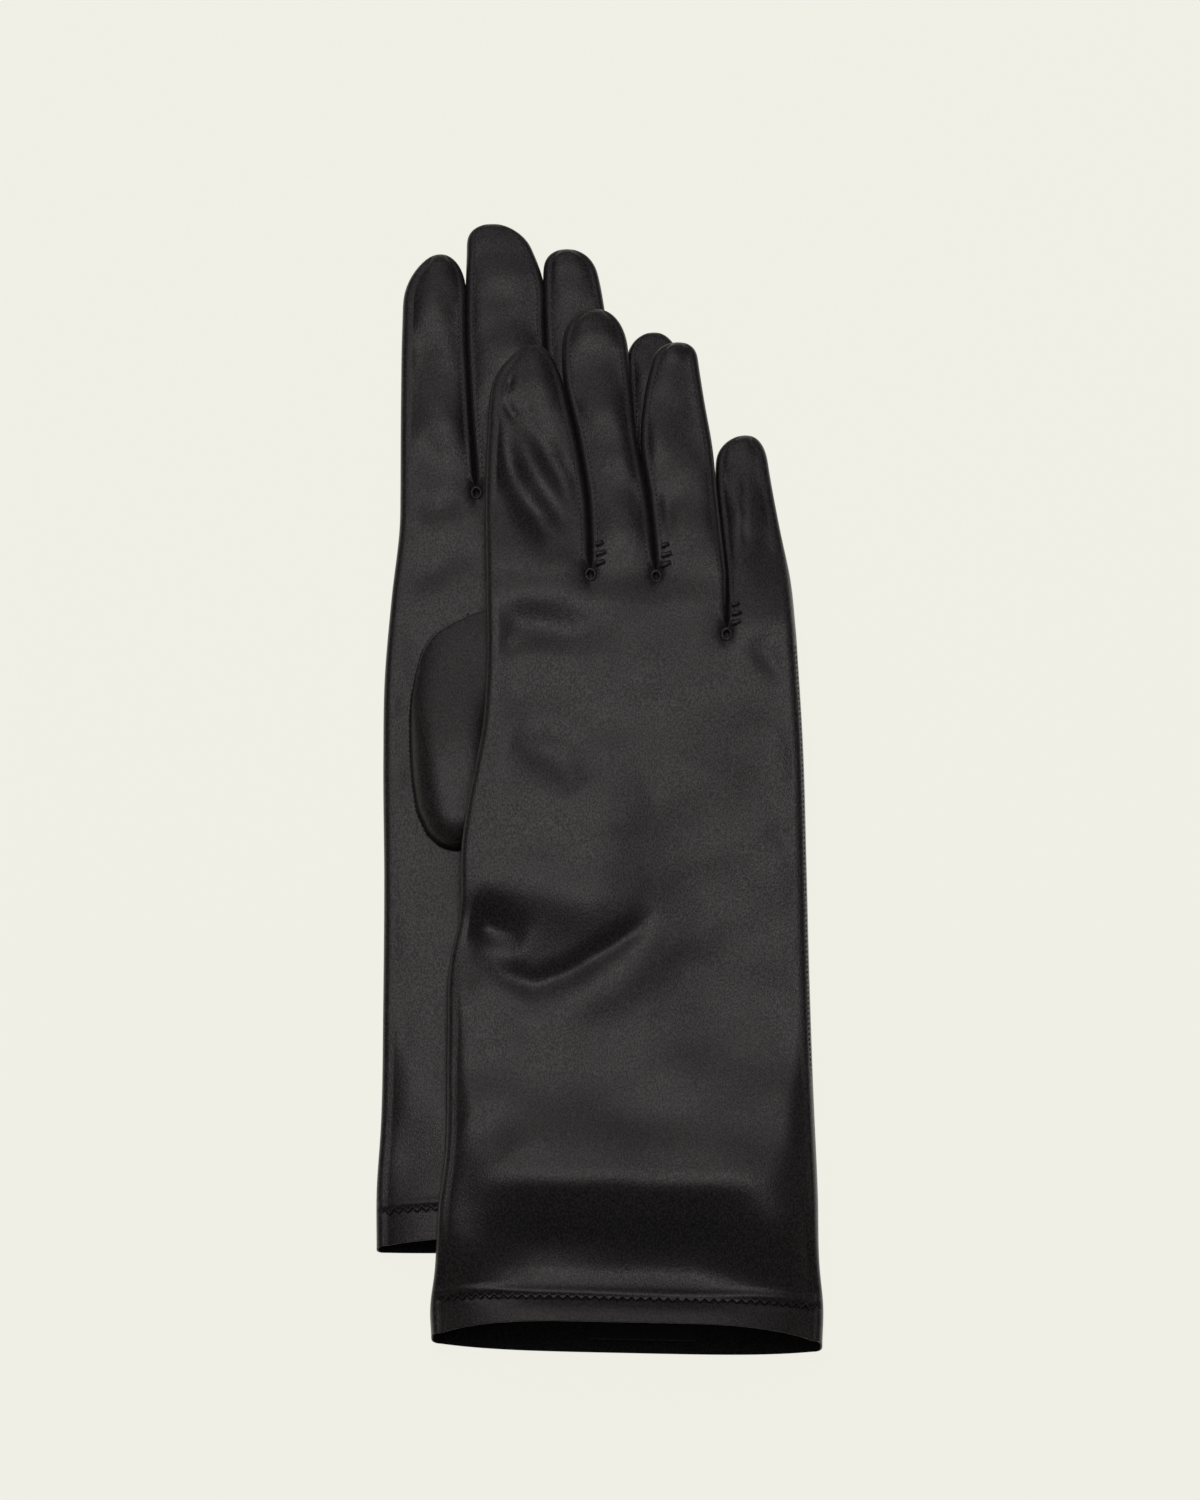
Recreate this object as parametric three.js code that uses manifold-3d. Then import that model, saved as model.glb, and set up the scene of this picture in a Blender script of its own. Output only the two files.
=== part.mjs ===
// A pair of satin opera gloves, laid one on the other: the left glove lies palm up on the table, and the
// right glove lies on it with its back up. Millimetres, +Z up, +Y towards the fingertips.
import * as THREE from "three";
import { mergeVertices } from "three/addons/utils/BufferGeometryUtils.js";
import Module from "manifold-3d";

const wasm = await Module();
wasm.setup();

// ---------------------------------------------------------------- driving dimensions
// Cloth and clearances
const WALL = 0.6; // one layer of satin with its seam allowance
const HEM_WALL = 1.4; // the turned and stitched layers of the hem
const SEAM_GAP = 0.3; // between two pieces that are sewn to each other
const LAYER_GAP = 0.4; // between two gloves that lie on each other
const THREAD = 0.4; // height of a line of stitching

// The glove's flat outline, measured from the edge of the cuff towards the fingers
const CUFF_WIDTH = 109;
const FOREARM_WIDTH = 102;
const WRIST_WIDTH = 98;
const PALM_WIDTH = 92;
const CUFF_TO_KNUCKLES = 222; // to the crotches of the index, middle and ring fingers
const KNUCKLES_TO_LITTLE = 17; // from there back to the crotch of the little finger
const KNUCKLES_TO_PALM = 57;
const KNUCKLES_TO_WRIST = 104;
const KNUCKLES_TO_FOREARM = 142; // to the middle of the forearm
const HEM_WIDTH = 10;
const CUFF_TO_LITTLE = CUFF_TO_KNUCKLES - KNUCKLES_TO_LITTLE;
const CUFF_TO_PALM = CUFF_TO_KNUCKLES - KNUCKLES_TO_PALM;
const CUFF_TO_WRIST = CUFF_TO_KNUCKLES - KNUCKLES_TO_WRIST;
const CUFF_TO_FOREARM = CUFF_TO_KNUCKLES - KNUCKLES_TO_FOREARM;

// The heights of the empty glove
const HAND_THICKNESS = 5.6;
const FINGER_THICKNESS = 6.0;
const THUMB_THICKNESS = 5.4;
const LEFT_LOFT = { mouth: 9, forearm: 5.6 }; // the left cuff and forearm are pressed by the glove on them
const RIGHT_LOFT = { mouth: 16, forearm: 8.4 }; // the right cuff stands open
const CUFF_TAPER = 62; // where the open cuff has flattened to the thickness of the forearm
const SIDE_HEIGHT = 2.8; // height of the folded side edge above the underside
const ARCH_REACH = 3.2; // how far the arch of a mouth reaches in from its edges, in mouth heights
const SIDE_RADIUS = 3.4; // how far the rounding of a side edge reaches inwards

// Fingers: width at the crotch, width before the tip, length from the crotch, sideways lean of the tip
const FINGERS = {
  index: { width: 28.6, tipWidth: 19, length: 68.5, lean: -3.2 },
  middle: { width: 18, tipWidth: 18.6, length: 79, lean: -9 },
  ring: { width: 18.4, tipWidth: 16.4, length: 70, lean: -7 },
  little: { width: 18.6, tipWidth: 14.6, length: 62, lean: -6.4 },
};
const FINGER_SIDE_GAP = 0.7; // between two neighbouring fingers
const LITTLE_SIDE_GAP = 1.6; // between the ring and the little finger, which starts lower and leans in
const HAND_LEFT = -44.6; // the index side of the hand at the knuckles, from the glove's middle line
const FOURCHETTE_HEIGHT = 3.2; // slot in the side of a finger that its side strip fills
const FOURCHETTE_START = 2.5; // from the crotch
const FOURCHETTE_END = 15; // from the fingertip
const FOURCHETTE_DEPTH = 1.6; // how far its slot is cut in from the finger's edge

// Thumb: a flat pouch set over an oval hole in the palm
const KNUCKLES_TO_THUMB = 81; // back to the middle of its hole
const THUMB_HOLE = { u: -29, v: CUFF_TO_KNUCKLES - KNUCKLES_TO_THUMB, across: 8, along: 22 }; // with half axes
const THUMB_BASE_HALF_WIDTH = 11.4;
const THUMB_TIP_HALF_WIDTH = 8.4;
const THUMB_HEEL = -34; // where both thumbs begin, from the middle of the hole
const LEFT_THUMB_PATH = [[-2, THUMB_HEEL], [-1, 2], [5, 26], [14, 36], [22, 41]];
const RIGHT_THUMB_PATH = [[0, THUMB_HEEL], [1, 2], [3, 23], [6.5, 36], [10, 48]];

// How the pair lies: the middle of each cuff edge, and the turn of each glove
const LEFT_PLACE = { x: -7.8, y: -135.5, turn: 1.4 };
const RIGHT_PLACE = { x: 7.7, y: -164.3, turn: -1.3 };
const DRAPE_SLOPE = 0.72; // how steeply the upper glove falls past the edge of the lower one
const DRAPE_START = 4; // how far past that edge it stays level
const RISE_LENGTH = 36; // over which the upper glove climbs from the forearm onto the thumbs
const RISE_TO_HEEL = 5; // from the end of that climb to the heel of the upper thumb
const KNUCKLE_DROP = 0.6; // how far the upper knuckles lie below the thumbs' height
const KNUCKLE_DROP_LENGTH = 9;
const CROTCH_DROP = 1; // how far the upper fingers start below the thumbs' height
const TIP_GAP = 1.05; // from the lower fingers to the tip of the longest upper one
const LITTLE_SHARE = 0.74; // share of the little finger's width at which the draped hand carries it

// Label sewn inside the right cuff
const LABEL = { width: 30, depth: 8, thickness: 0.4, fromMiddle: 4, fromEdge: 1.5 };

// ---------------------------------------------------------------- materials
const matte = (name, color, roughness) => new THREE.MeshStandardMaterial({ name, color, roughness });
const satin = (name) => matte(name, 0x2b2828, 0.42);
const thread = (name) => matte(name, 0x1b1a1b, 0.7);
const tape = (name) => matte(name, 0x17171a, 0.55);

// ---------------------------------------------------------------- solids
/** A closed geometry as a solid that can be cut and joined. */
function solidOf(geometry) {
  const bare = new THREE.BufferGeometry().setAttribute("position", geometry.getAttribute("position"));
  if (geometry.index) bare.setIndex(geometry.index);
  const merged = mergeVertices(bare, SAME_PLACE);
  const mesh = new wasm.Mesh({
    numProp: 3,
    vertProperties: new Float32Array(merged.attributes.position.array),
    triVerts: new Uint32Array(merged.index.array),
  });
  return new wasm.Manifold(mesh);
}

/** A cut or joined solid back as a geometry. */
function geometryOf(solid) {
  const mesh = solid.getMesh();
  const geometry = new THREE.BufferGeometry();
  geometry.setAttribute("position", new THREE.BufferAttribute(mesh.vertProperties, 3));
  geometry.setIndex(new THREE.BufferAttribute(mesh.triVerts, 1));
  geometry.computeVertexNormals();
  return geometry;
}

/** A node of the pair: a named mesh with a material of its own. */
function piece(name, solid, material) {
  const mesh = new THREE.Mesh(geometryOf(solid), material);
  mesh.name = name;
  return mesh;
}

const lerp = THREE.MathUtils.lerp;
const clamp = THREE.MathUtils.clamp;
const SAME_PLACE = 1e-4; // points closer than this are one point
const RIM_STEP = 0.28; // share of a rounded edge at which a section has a point
const RIM_FLATTEN = 1.08; // how much sooner the underside of an edge is flat than its top

/** A value read off a list of [place, value] pairs, in straight lines between them. */
function along(table, place) {
  const next = table.findIndex(([at]) => at >= place);
  if (next === 0) return table[0][1];
  if (next < 0) return table[table.length - 1][1];
  const [[a, from], [b, to]] = [table[next - 1], table[next]];
  return lerp(from, to, (place - a) / (b - a));
}

/** Height share of a rounded edge, at a distance in from it. */
const rounding = (distance, radius) => (distance >= radius ? 1 : Math.sqrt(1 - (1 - distance / radius) ** 2));

/** Distances across a flattened tube where its section has points, close together at both edges. */
function placesAcross(width, steps) {
  const edge = Math.min(SIDE_RADIUS, width / 4);
  const rim = [0, RIM_STEP].map((share) => share * edge);
  const flat = Array.from({ length: steps + 1 }, (_, k) => lerp(edge, width - edge, k / steps));
  return [...rim, ...flat, ...rim.map((distance) => width - distance).reverse()];
}

/**
 * One section of a flattened tube as pairs of top and bottom points. A section has a left and right edge, a
 * thickness, an arch (how far the rounding of its top reaches in from each edge) and an inset on all sides.
 * place turns (across, height) into a point.
 */
function sectionPairs({ left, right, thickness, arch = SIDE_RADIUS, inset = 0, steps }, place) {
  const width = right - left;
  const side = Math.min(SIDE_HEIGHT, thickness / 2);
  return placesAcross(width, steps).map((distance) => {
    const fromEdge = Math.min(distance, width - distance);
    const top = side + (thickness - side) * rounding(fromEdge, Math.min(arch, width / 2));
    const bottom = side - side * Math.min(1, RIM_FLATTEN * rounding(fromEdge, Math.min(SIDE_RADIUS, width / 2)));
    const across = left + inset + (distance * (width - 2 * inset)) / width;
    const squeeze = (height) => inset + (height * (thickness - 2 * inset)) / thickness;
    return { top: place(across, squeeze(top)), bottom: place(across, squeeze(bottom)) };
  });
}

/** Sections joined into a closed solid, with a flat face on the first and the last. */
function loft(sections) {
  const positions = [];
  const triangle = (a, b, c) => positions.push(...a.toArray(), ...b.toArray(), ...c.toArray());
  const quad = (a, b, c, d) => {
    triangle(a, b, c);
    triangle(a, c, d);
  };
  const last = sections[0].length - 1;
  for (let s = 0; s + 1 < sections.length; s++) {
    const [near, far] = [sections[s], sections[s + 1]];
    for (let k = 0; k < last; k++) {
      quad(near[k].top, near[k + 1].top, far[k + 1].top, far[k].top);
      quad(near[k + 1].bottom, near[k].bottom, far[k].bottom, far[k + 1].bottom);
    }
    quad(near[0].bottom, near[0].top, far[0].top, far[0].bottom);
    quad(near[last].top, near[last].bottom, far[last].bottom, far[last].top);
  }
  const cap = (section, flipped) => {
    for (let k = 0; k < last; k++) {
      const corners = [section[k].top, section[k].bottom, section[k + 1].bottom, section[k + 1].top];
      if (flipped) corners.reverse();
      quad(...corners);
    }
  };
  cap(sections[0], false);
  cap(sections[sections.length - 1], true);
  return solidOf(withoutFlatTriangles(positions));
}

/** A geometry of loose triangles, leaving out those with two corners in one place. */
function withoutFlatTriangles(positions) {
  const kept = [];
  for (let i = 0; i < positions.length; i += 9) {
    const [a, b, c] = [0, 3, 6].map((k) => new THREE.Vector3().fromArray(positions, i + k));
    const shortest = Math.min(a.distanceTo(b), b.distanceTo(c), c.distanceTo(a));
    if (shortest > SAME_PLACE) kept.push(...a.toArray(), ...b.toArray(), ...c.toArray());
  }
  return new THREE.BufferGeometry().setAttribute("position", new THREE.Float32BufferAttribute(kept, 3));
}

/** A closed solid with four corners at each station. */
function bar(stations) {
  return loft(
    stations.map(([lowLeft, lowRight, highRight, highLeft]) => [
      { top: highLeft, bottom: lowLeft },
      { top: highRight, bottom: lowRight },
    ]),
  );
}

// ---------------------------------------------------------------- the hand and forearm
const edgeSteps = (half) => [
  [0, half * CUFF_WIDTH],
  [CUFF_TO_FOREARM, half * FOREARM_WIDTH],
  [CUFF_TO_WRIST, half * WRIST_WIDTH],
  [CUFF_TO_PALM, half * PALM_WIDTH],
];
const knuckleRight = () =>
  HAND_LEFT + FINGERS.index.width + FINGERS.middle.width + FINGERS.ring.width + 2 * FINGER_SIDE_GAP;
const handRight = () => knuckleRight() + LITTLE_SIDE_GAP + FINGERS.little.width;
const leftEdge = (v) => along([...edgeSteps(-0.5), [CUFF_TO_KNUCKLES, HAND_LEFT]], v);
const rightEdge = (v) => along([...edgeSteps(0.5), [CUFF_TO_LITTLE, handRight()]], v);

/** How thick the empty glove lies, from its open mouth to the hand. */
const trankThickness = ({ mouth, forearm }, v) =>
  along([[0, mouth], [HEM_WIDTH, mouth], [CUFF_TAPER, forearm], [CUFF_TO_WRIST, HAND_THICKNESS]], v);

/** How far the top of the cuff is arched. */
const trankArch = ({ mouth }, v) =>
  along([[0, ARCH_REACH * mouth], [HEM_WIDTH, ARCH_REACH * mouth], [CUFF_TAPER, SIDE_RADIUS]], v);

const ACROSS_STEPS = 13;
const FINGER_ACROSS_STEPS = 3;
const THUMB_ACROSS_STEPS = 4;
const STITCH_HALF_WIDTH = 0.4; // of the line of stitching round the hem
const STITCH_ENDS = [HEM_WIDTH - STITCH_HALF_WIDTH, HEM_WIDTH + STITCH_HALF_WIDTH];
const GROOVE_HALF_WIDTH = 0.8; // where that stitching pulls the cloth in
const GROOVE_DEPTH = 0.8;
const STITCH_INSET = 0.1;
const GROOVE_SLOPE = 0.3; // length of each side of that groove
const HEM_FACING = 1.5; // how far the hem's layers go on past the groove
const HEM_STEP = 1; // over which they thin to one layer
const CUT_PAST = 1; // how far a cut reaches past what it cuts

function trankSection(glove, v, inset, wall, place) {
  const cut = inset + wall;
  const section = {
    left: leftEdge(v),
    right: rightEdge(v),
    thickness: trankThickness(glove, v),
    arch: trankArch(glove, v),
    inset: cut,
    steps: ACROSS_STEPS,
  };
  return sectionPairs(section, (u, z) => place(u, v, z));
}

/** The trank: the palm and back of the hand and the forearm in one folded piece, open at both ends. */
function trank(glove, stations, place) {
  const groove = [HEM_WIDTH - GROOVE_HALF_WIDTH, HEM_WIDTH + GROOVE_HALF_WIDTH];
  const outside = [
    [0, 0],
    [groove[0] - GROOVE_SLOPE, 0],
    [groove[0], GROOVE_DEPTH],
    ...STITCH_ENDS.map((v) => [v, GROOVE_DEPTH]),
    [groove[1], GROOVE_DEPTH],
    [groove[1] + GROOVE_SLOPE, 0],
    ...stations.map((v) => [v, 0]),
    [CUFF_TO_KNUCKLES, 0],
  ];
  const inside = [
    [-CUT_PAST, HEM_WALL],
    [HEM_WIDTH, HEM_WALL],
    [HEM_END - HEM_STEP, HEM_WALL],
    [HEM_END, WALL],
    ...stations.map((v) => [v, WALL]),
    [CUFF_TO_KNUCKLES + CUT_PAST, WALL],
  ];
  const outer = loft(outside.map(([v, inset]) => trankSection(glove, v, inset, 0, place)));
  const inner = loft(inside.map(([v, wall]) => trankSection(glove, v, 0, wall, place)));
  return outer.subtract(inner).subtract(littleCorner(place));
}

const HEM_END = HEM_WIDTH + GROOVE_HALF_WIDTH + HEM_FACING + HEM_STEP;
const NEAREST_STATIONS = 2;

/** Where the trank has sections, in order from the hem to the knuckles, none too close to the next. */
function inOrder(stations) {
  const between = stations.filter((v) => v > HEM_END + NEAREST_STATIONS && v < CUFF_TO_KNUCKLES - NEAREST_STATIONS);
  const sorted = between.sort((a, b) => a - b);
  return sorted.filter((v, k) => k === 0 || v > sorted[k - 1] + 0.5);
}

/** Places in even steps between two others, with both ends. */
const steps = (from, to, count) => Array.from({ length: count + 1 }, (_, k) => lerp(from, to, k / count));
const halfway = (a, b) => (a + b) / 2;

const RISE_END = THUMB_HOLE.v + THUMB_HEEL - RISE_TO_HEEL;
const RISE_START = RISE_END - RISE_LENGTH;
const CUFF_STEP = LEFT_PLACE.y - RIGHT_PLACE.y; // how far the lower glove's cuff lies up the upper one
const KNUCKLE_DROP_START = CUFF_TO_KNUCKLES - KNUCKLE_DROP_LENGTH;
const HAND_STATIONS = [CUFF_TO_WRIST, CUFF_TO_PALM, CUFF_TO_LITTLE];
const FLAT_STATIONS = inOrder([halfway(0, CUFF_TAPER), CUFF_TAPER, ...HAND_STATIONS]);
const DRAPED_STATIONS = inOrder([
  ...steps(HEM_END + 3, CUFF_STEP + DRAPE_START, 4),
  ...steps(CUFF_STEP + DRAPE_START, CUFF_TAPER, 3),
  RISE_START,
  RISE_END,
  ...HAND_STATIONS,
  halfway(CUFF_TO_WRIST, CUFF_TO_PALM),
  halfway(CUFF_TO_PALM, CUFF_TO_LITTLE),
  KNUCKLE_DROP_START,
]);

/** The corner of the hand that is cut away, because the little finger starts lower than the others. */
function littleCorner(place) {
  const low = Math.min(place(0, CUFF_TO_LITTLE, 0).z, 0) - 1;
  const left = knuckleRight();
  const size = new THREE.Vector3(CUFF_WIDTH, KNUCKLES_TO_LITTLE + 2 * CUT_PAST, CUFF_WIDTH);
  const box = new THREE.BoxGeometry(...size.toArray());
  box.translate(left + size.x / 2, CUFF_TO_LITTLE + size.y / 2, low + size.z / 2);
  return solidOf(box);
}

/** The zigzag stitching round the hem, as one closed thread in the groove it pulls. */
function hemStitching(glove, place) {
  const beyond = [STITCH_ENDS[0] - CUT_PAST, ...STITCH_ENDS, STITCH_ENDS[1] + CUT_PAST];
  const outer = loft(STITCH_ENDS.map((v) => trankSection(glove, v, STITCH_INSET, 0, place)));
  const inner = loft(beyond.map((v) => trankSection(glove, v, STITCH_INSET, THREAD, place)));
  return outer.subtract(inner);
}

const SIDE_SEAM_HALF_HEIGHT = 0.5;

/** The thread of the side seam, along the little finger side from the hem to the hand. */
function sideSeam(trankStations, place) {
  const stations = [HEM_WIDTH + GROOVE_HALF_WIDTH + HEM_STEP, ...trankStations.filter((v) => v < CUFF_TO_LITTLE)];
  const at = (v) => {
    const near = rightEdge(v) + SEAM_GAP;
    const [low, high] = [SIDE_HEIGHT - SIDE_SEAM_HALF_HEIGHT, SIDE_HEIGHT + SIDE_SEAM_HALF_HEIGHT];
    return [place(near, v, low), place(near + THREAD, v, low), place(near + THREAD, v, high), place(near, v, high)];
  };
  return bar(stations.map(at));
}

// ---------------------------------------------------------------- fingers and fourchettes
const FINGER_ORDER = ["index", "middle", "ring", "little"];
const FULL_TIP_WIDTH = 1 / 1.15; // share of a finger's length at which it has its tip's width
const TIP_ROUND = 0.62; // length of a rounded tip, in its widths
const TIP_THINNEST = 0.4; // share of the thickness left at the very tip
const TIP_STEPS = [0, 0.45, 0.78, 0.95];
const FINGER_STATIONS = 4; // along a finger before its rounded tip

/** The left edge of a finger at its crotch line. */
function fingerLeft(name) {
  if (name === "little") return knuckleRight() + LITTLE_SIDE_GAP;
  const before = FINGER_ORDER.slice(0, FINGER_ORDER.indexOf(name));
  return before.reduce((u, other) => u + FINGERS[other].width + FINGER_SIDE_GAP, HAND_LEFT);
}

const fingerStart = (name) => (name === "little" ? CUFF_TO_LITTLE : CUFF_TO_KNUCKLES) + SEAM_GAP;

/** The two edges of a finger at a distance from its crotch, before its tip is rounded. */
function fingerEdges(name, distance) {
  const { width, tipWidth, length, lean } = FINGERS[name];
  const share = distance / length;
  const middle = fingerLeft(name) + width / 2 + lean * share;
  const half = lerp(width, tipWidth, Math.min(1, share / FULL_TIP_WIDTH)) / 2;
  return [middle - half, middle + half];
}

/** A finger's sections, each brought in by the wall. */
function fingerSections(name, wall) {
  const { tipWidth, length } = FINGERS[name];
  const round = tipWidth * TIP_ROUND;
  const reach = length - wall;
  const body = steps(0, length - round, FINGER_STATIONS).slice(0, -1);
  const tip = TIP_STEPS.map((share) => reach - round * (1 - share));
  const open = wall > 0 ? [-CUT_PAST, ...body.slice(1)] : body;
  return [...open, ...tip].map((distance) => {
    const share = clamp((distance - (reach - round)) / round, 0, 1);
    const shrink = Math.sqrt(1 - share ** 2);
    const [left, right] = fingerEdges(name, distance);
    const half = ((right - left) / 2 - wall) * shrink;
    const middle = (left + right) / 2;
    const full = FINGER_THICKNESS - 2 * wall;
    const thickness = full * lerp(TIP_THINNEST, 1, shrink);
    const lift = wall + (full - thickness) / 2;
    const section = { left: middle - half, right: middle + half, thickness, steps: FINGER_ACROSS_STEPS };
    return sectionPairs(section, (u, z) => new THREE.Vector3(u, fingerStart(name) + distance, z + lift));
  });
}

/** The slot along one side of a finger, brought in by a clearance on its ends and edges. */
function fourchetteSlot(name, side, clearance) {
  const { length } = FINGERS[name];
  const distances = [FOURCHETTE_START + clearance, length * 0.45, length - FOURCHETTE_END - clearance];
  const [low, high] = [-0.5, 0.5].map((half) => FINGER_THICKNESS / 2 + half * (FOURCHETTE_HEIGHT - 2 * clearance));
  return bar(
    distances.map((distance) => {
      const edge = fingerEdges(name, distance)[side === "left" ? 0 : 1];
      const v = fingerStart(name) + distance;
      const corner = (u, z) => new THREE.Vector3(u, v, z);
      const [near, far] = [edge - FOURCHETTE_DEPTH, edge + FOURCHETTE_DEPTH];
      return [corner(near, low), corner(far, low), corner(far, high), corner(near, high)];
    }),
  );
}

const FOURCHETTE_SIDES = { index: ["right"], middle: ["left", "right"], ring: ["left", "right"], little: ["left"] };

/** A finger and the strips sewn between its palm side and its back. rest tips each solid into its place. */
function fingerPieces(hand, name, rest) {
  const hollow = loft(fingerSections(name, 0)).subtract(loft(fingerSections(name, WALL)));
  const sides = FOURCHETTE_SIDES[name];
  const slotted = sides.reduce((solid, side) => solid.subtract(fourchetteSlot(name, side, 0)), hollow);
  const strips = sides.map((side) => {
    const strip = hollow.intersect(fourchetteSlot(name, side, SEAM_GAP));
    return piece(`${hand}_${name}_fourchette_${side}`, strip, satin("fourchette"));
  });
  const pieces = [piece(`${hand}_${name}`, slotted, satin("satin")), ...strips];
  const tip = new THREE.Matrix4().set(1, 0, 0, 0, 0, 1, 0, 0, 0, rest.slope, 1, rest.height, 0, 0, 0, 1);
  pieces.forEach((mesh) => mesh.geometry.applyMatrix4(tip));
  return pieces;
}

// ---------------------------------------------------------------- thumb
/** The oval hole that the thumb is set over, grown by a margin, as a solid between two heights. */
function thumbOval(margin, low, high) {
  const shape = new THREE.Shape();
  shape.absellipse(THUMB_HOLE.u, THUMB_HOLE.v, THUMB_HOLE.across + margin, THUMB_HOLE.along + margin, 0, 2 * Math.PI);
  const geometry = new THREE.ExtrudeGeometry(shape, { depth: high - low, bevelEnabled: false, curveSegments: 14 });
  return solidOf(geometry.translate(0, 0, low));
}

const THUMB_END_STEPS = [0.02, 0.12, 0.4, 1]; // through each rounded end
const THUMB_BODY_STEPS = [0.35, 0.5, 0.65, 0.78]; // shares of its length
const THUMB_TAPER = { start: 0.31, length: 0.63 }; // where its half width changes from heel to tip
const THUMB_THINNEST = 0.45; // share of the thickness left at its edges

/** The thumb as a flat pouch along its path, brought in by the wall, with its underside at a height. */
function thumbSections(path, floor, wall) {
  const points = path.map(([u, v]) => new THREE.Vector3(THUMB_HOLE.u + u, THUMB_HOLE.v + v, 0));
  const curve = new THREE.CatmullRomCurve3(points);
  const length = curve.getLength();
  const [first, last] = [wall, length - wall];
  const [heel, tip] = [THUMB_BASE_HALF_WIDTH, THUMB_TIP_HALF_WIDTH];
  const distances = [
    ...THUMB_END_STEPS.map((share) => first + share * heel),
    ...THUMB_BODY_STEPS.map((share) => share * length),
    ...THUMB_END_STEPS.map((share) => last - share * tip).reverse(),
  ];
  return distances.map((distance) => {
    const share = distance / length;
    const taper = clamp((share - THUMB_TAPER.start) / THUMB_TAPER.length, 0, 1);
    const body = lerp(heel, tip, taper) - wall;
    const shrink = Math.min(rounding(distance - first, heel), rounding(last - distance, tip));
    const full = THUMB_THICKNESS - 2 * wall;
    const thickness = full * lerp(THUMB_THINNEST, 1, shrink);
    const lift = floor + wall + (full - thickness) / 2;
    const centre = curve.getPointAt(clamp(share, 0, 1));
    const ahead = curve.getTangentAt(clamp(share, 0, 1));
    const half = body * shrink;
    const section = { left: -half, right: half, thickness, steps: THUMB_ACROSS_STEPS };
    return sectionPairs(section, (s, z) =>
      new THREE.Vector3(centre.x + ahead.y * s, centre.y - ahead.x * s, z + lift),
    );
  });
}

/** The thumb pouch, open over the hole in the palm. holeBelow says which of its faces meets the palm. */
function thumb(path, floor, holeBelow) {
  const pouch = loft(thumbSections(path, floor, 0)).subtract(loft(thumbSections(path, floor, WALL)));
  const middle = floor + THUMB_THICKNESS / 2;
  const top = floor + THUMB_THICKNESS + CUT_PAST;
  const opening = holeBelow ? thumbOval(0, floor - CUT_PAST, middle) : thumbOval(0, middle, top);
  return pouch.subtract(opening);
}

const THUMB_SEAM_RING = [0.7, 1.6]; // margins of its inner and outer edge round the hole

/** The thread that joins the thumb to the palm, an oval ring between them. */
function thumbSeam(low) {
  const [inner, outer] = THUMB_SEAM_RING;
  const high = low + THREAD;
  return thumbOval(outer, low, high).subtract(thumbOval(inner, low - CUT_PAST, high + CUT_PAST));
}

// ---------------------------------------------------------------- left glove, palm up
const THUMB_CLEARANCE = 2 * SEAM_GAP + THREAD; // from a palm to the thumb's near face
const flat = (u, v, z) => new THREE.Vector3(u, v, z);

function leftGlove() {
  const glove = new THREE.Group();
  const palm = HAND_THICKNESS;
  const hand = trank(LEFT_LOFT, FLAT_STATIONS, flat).subtract(thumbOval(0, palm - 2 * WALL, palm + CUT_PAST));
  glove.add(piece("left_trank", hand, satin("satin")));
  glove.add(piece("left_hem_stitching", hemStitching(LEFT_LOFT, flat), thread("thread")));
  glove.add(piece("left_side_seam", sideSeam(FLAT_STATIONS, flat), thread("thread")));
  FINGER_ORDER.forEach((name) => glove.add(...fingerPieces("left", name, { height: 0, slope: 0 })));
  glove.add(piece("left_thumb", thumb(LEFT_THUMB_PATH, palm + THUMB_CLEARANCE, true), satin("satin")));
  glove.add(piece("left_thumb_seam", thumbSeam(palm + SEAM_GAP), thread("thread")));
  return glove;
}

// ---------------------------------------------------------------- right glove, back up, on the left one
const placeGlove = (glove, { x, y, turn }) => {
  glove.position.set(x, y, 0);
  glove.rotation.z = THREE.MathUtils.degToRad(turn);
  glove.updateMatrixWorld(true);
  return glove;
};

/** A place in the right glove's plan as it is in the left glove's plan. */
function inLeftPlan(u, v) {
  const fromRight = placeGlove(new THREE.Group(), RIGHT_PLACE).matrixWorld;
  const toLeft = placeGlove(new THREE.Group(), LEFT_PLACE).matrixWorld.invert();
  return new THREE.Vector3(u, v, 0).applyMatrix4(fromRight).applyMatrix4(toLeft);
}

const overThumbs = () => HAND_THICKNESS + THUMB_CLEARANCE + THUMB_THICKNESS + LAYER_GAP;

/** Height of the right glove's underside where the left glove or the thumbs carry it. */
function carriedHeight(v) {
  const lowest = inLeftPlan(0, v).y;
  const onForearm = trankThickness(LEFT_LOFT, Math.max(lowest, 0)) + LAYER_GAP;
  const table = [
    [RISE_START, onForearm],
    [RISE_END, overThumbs()],
    [KNUCKLE_DROP_START, overThumbs()],
    [CUFF_TO_KNUCKLES, overThumbs() - KNUCKLE_DROP],
  ];
  return along(table, v);
}

/** The underside of the right glove: level over the left glove, and falling to the table past its edges. */
function restHeight(u, v) {
  const under = inLeftPlan(u, v);
  const pastSide = under.x - rightEdge(clamp(under.y, 0, CUFF_TO_KNUCKLES)) - DRAPE_START;
  const pastCuff = -under.y - DRAPE_START;
  const past = Math.max(pastSide, pastCuff, 0);
  return Math.max(0, carriedHeight(v) - DRAPE_SLOPE * past);
}

const draped = (u, v, z) => new THREE.Vector3(u, v, z + restHeight(u, v));

/** How an upper finger lies: the little one on the table past the lower glove, the others on its fingers. */
function fingerRest(name) {
  const start = fingerStart(name);
  if (name === "little") {
    const { width, length } = FINGERS.little;
    const height = restHeight(fingerLeft(name) + LITTLE_SHARE * width, CUFF_TO_LITTLE);
    const slope = height / length;
    return { height: height + slope * start, slope: -slope };
  }
  const height = overThumbs() - CROTCH_DROP;
  const slope = (height - FINGER_THICKNESS - TIP_GAP) / FINGERS.middle.length;
  return { height: height + slope * start, slope: -slope };
}

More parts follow.
